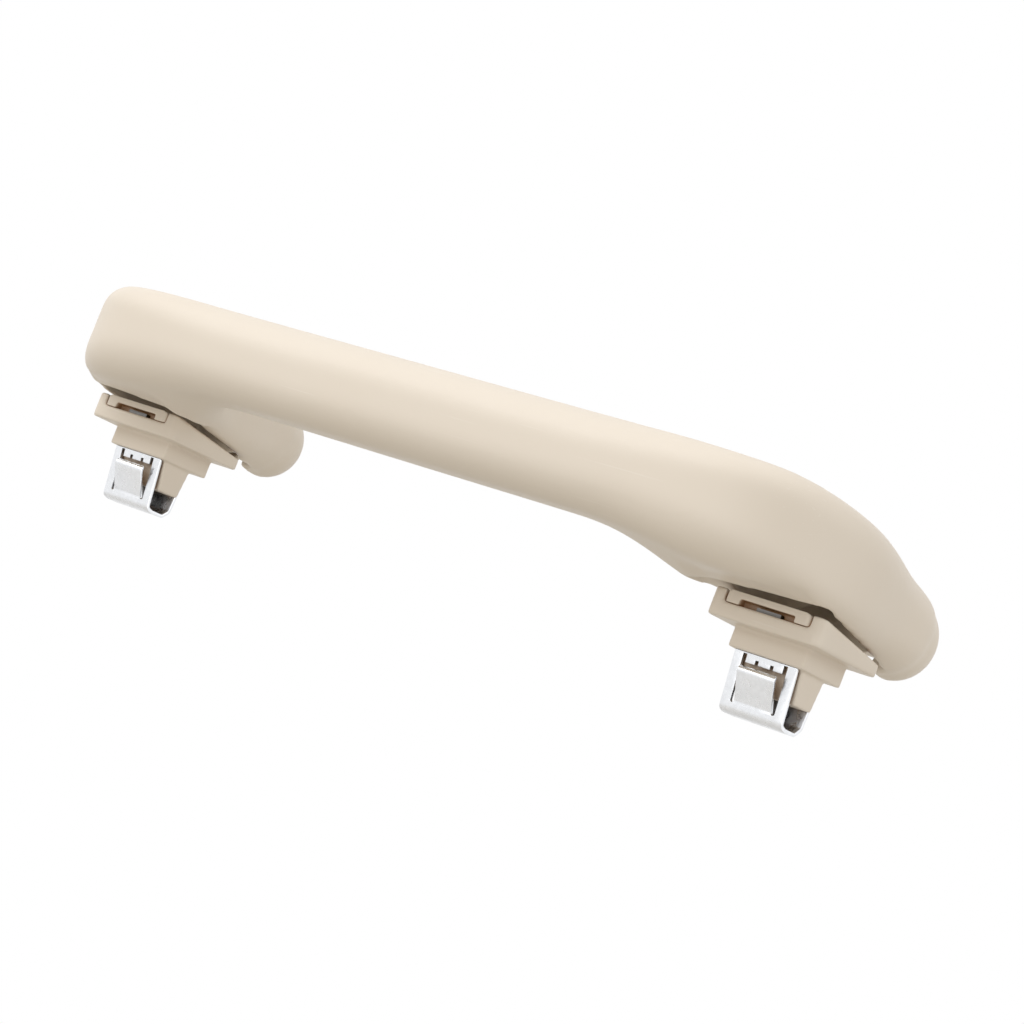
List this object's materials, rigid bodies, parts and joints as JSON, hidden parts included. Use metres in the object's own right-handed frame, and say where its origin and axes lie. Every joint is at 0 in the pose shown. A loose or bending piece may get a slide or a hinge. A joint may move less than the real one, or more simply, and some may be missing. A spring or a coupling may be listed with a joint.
{
  "type": "roof grab handle",
  "caption": "Folding roof grab handle: a smooth beige bar with rounded arms on hinged clip-in brackets, sprung to fold flat against the headliner.",
  "frame": {"origin": "midway between the two fixing blocks, on the plane where the base plates meet the headliner", "axes": "+X along the grip, +Y from the bar towards the hinge, +Z away from the roof, so that in a vehicle +Z points down"},
  "size_m": [0.2374, 0.0771, 0.0514],
  "materials": {
    "beige_plastic": "satin, very fine grain",
    "clip_steel": "bright zinc plated",
    "blade_steel": "bright spring steel",
    "pin_steel": "ground",
    "spring_steel": "drawn wire",
    "dark_plastic": "moulded",
    "seal_rubber": "moulded"
  },
  "bodies": {
    "left_bracket": {"left_hinge_block": "beige_plastic", "left_spring_clip": "clip_steel", "left_hinge_pin": "pin_steel", "return_spring": "spring_steel"},
    "left_wedge": {"left_lock_wedge": "beige_plastic", "left_wedge_blade": "blade_steel"},
    "grip": {"grip_moulding": "beige_plastic", "damper_housing": "dark_plastic", "damper_cover": "dark_plastic", "damper_seal": "seal_rubber"},
    "right_bracket": {"right_hinge_block": "beige_plastic", "right_spring_clip": "clip_steel", "right_hinge_pin": "pin_steel", "damper_rotor": "dark_plastic"},
    "right_wedge": {"right_lock_wedge": "beige_plastic", "right_wedge_blade": "blade_steel"}
  },
  "joints": [
    {"name": "grip_fold", "type": "hinge", "parent": "left_bracket", "child": "grip", "pos_m": [-0.1, 0.0268, 0.0119], "axis": [-1, 0, 0], "range_deg": [0, 90], "stiffness_Nm_per_rad": 0.1, "springref_deg": -57.3, "deforming": ["return_spring"]},
    {"name": "right_bracket_hinge", "type": "hinge", "parent": "grip", "child": "right_bracket", "pos_m": [0.1, 0.0268, 0.0119], "axis": [-1, 0, 0], "range_deg": [-90, 0]},
    {"name": "left_wedge_slide", "type": "slide", "parent": "left_bracket", "child": "left_wedge", "axis": [0, 0, 1], "range_m": [0, 0.008]},
    {"name": "right_wedge_slide", "type": "slide", "parent": "right_bracket", "child": "right_wedge", "axis": [0, 0, 1], "range_m": [0, 0.008]}
  ],
  "couplings": [
    {"joint": "right_bracket_hinge", "follows": "grip_fold", "ratio": -1}
  ]
}
